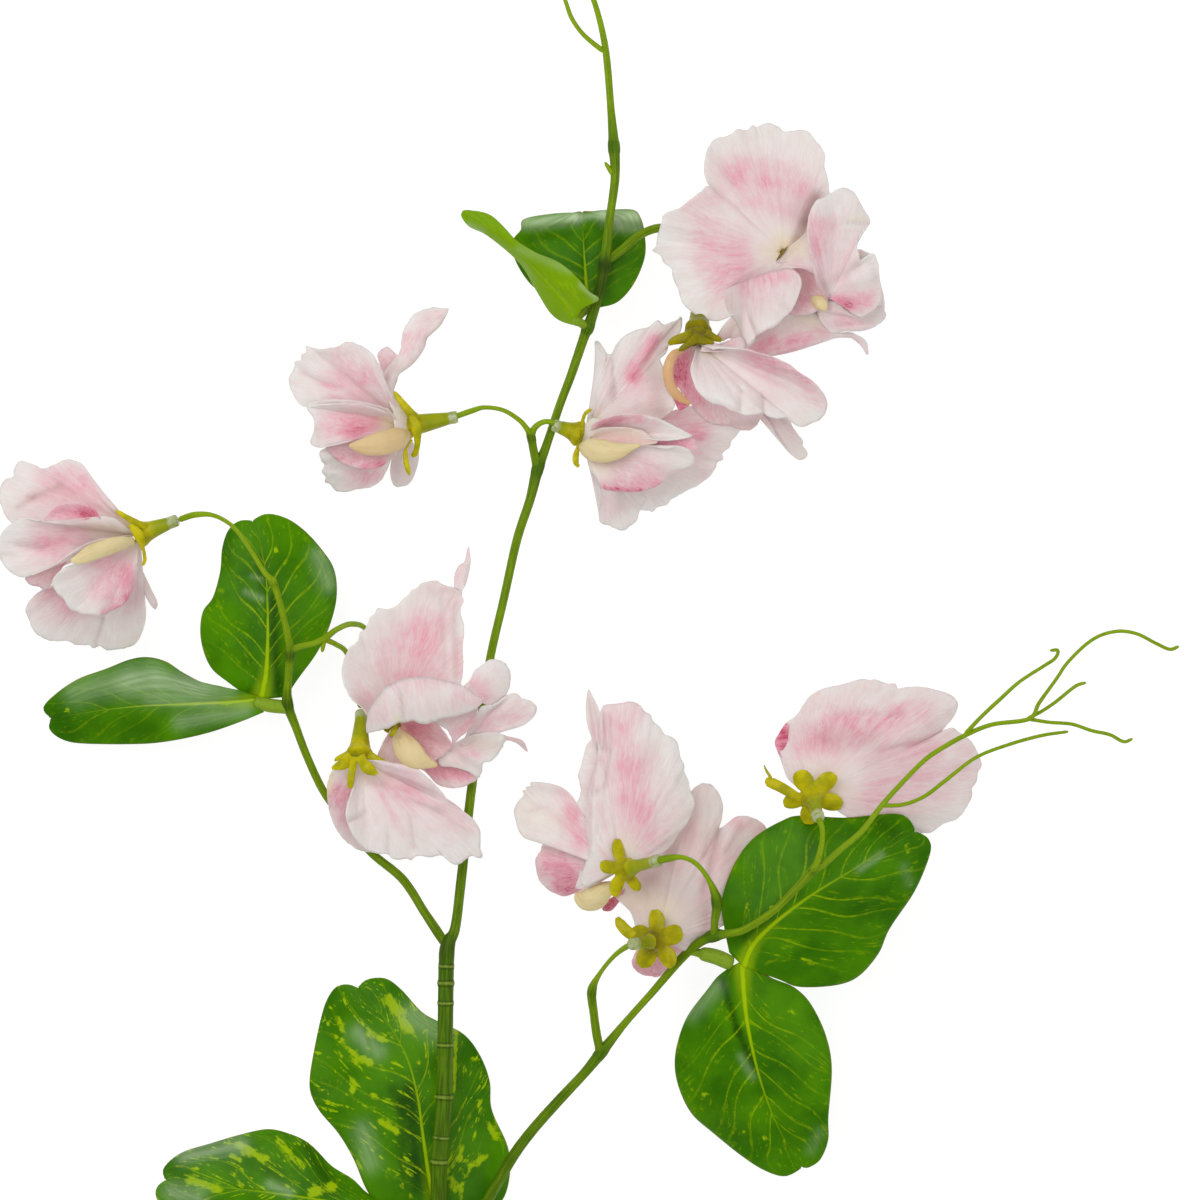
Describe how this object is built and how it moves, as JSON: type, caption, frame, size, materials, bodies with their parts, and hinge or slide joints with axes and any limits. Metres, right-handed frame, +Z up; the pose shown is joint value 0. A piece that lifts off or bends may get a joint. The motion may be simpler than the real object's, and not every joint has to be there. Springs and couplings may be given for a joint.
{
  "type": "sweet pea flower spray",
  "caption": "Cut sweet pea spray lying on a surface: a branching stem with ruffled pale pink blooms, paired oval leaves and curling tendrils.",
  "frame": {"origin": "centre of the spray's box, on the surface that it lies on", "axes": "+Y along the main stem towards its tip, +X to the right seen from above, +Z up"},
  "size_m": [0.2644, 0.3032, 0.0381],
  "materials": {
    "stem_green": "satin fresh green stem, yellower towards the tips",
    "leaf_green": "glossy deep green leaf with lime veins and flecks",
    "calyx_olive": "satin olive yellow",
    "petal_pink": "matt thin petal, near white with streaks of pink",
    "keel_cream": "matt cream"
  },
  "bodies": {
    "root": {"main_stem": "stem_green", "left_branch": "stem_green", "right_branch": "stem_green", "bloom_1_calyx": "calyx_olive", "bloom_1_petals": "petal_pink", "bloom_1_keel": "keel_cream", "bloom_2_calyx": "calyx_olive", "bloom_2_petals": "petal_pink", "bloom_2_keel": "keel_cream", "bloom_3_calyx": "calyx_olive", "bloom_3_petals": "petal_pink", "bloom_3_keel": "keel_cream", "bloom_4_calyx": "calyx_olive", "bloom_4_petals": "petal_pink", "bloom_4_keel": "keel_cream", "bloom_5_calyx": "calyx_olive", "bloom_5_petals": "petal_pink", "bloom_5_keel": "keel_cream", "bloom_6_calyx": "calyx_olive", "bloom_6_petals": "petal_pink", "bloom_6_keel": "keel_cream", "bloom_7_calyx": "calyx_olive", "bloom_7_petals": "petal_pink", "bloom_7_keel": "keel_cream", "bloom_8_calyx": "calyx_olive", "bloom_8_petals": "petal_pink", "bloom_8_keel": "keel_cream", "bloom_9_calyx": "calyx_olive", "bloom_9_petals": "petal_pink", "bloom_9_keel": "keel_cream", "bloom_10_calyx": "calyx_olive", "bloom_10_petals": "petal_pink", "bloom_10_keel": "keel_cream", "leaf_bottom": "leaf_green", "leaf_left": "leaf_green", "leaf_right": "leaf_green", "leaf_top": "leaf_green"}
  },
  "joints": []
}
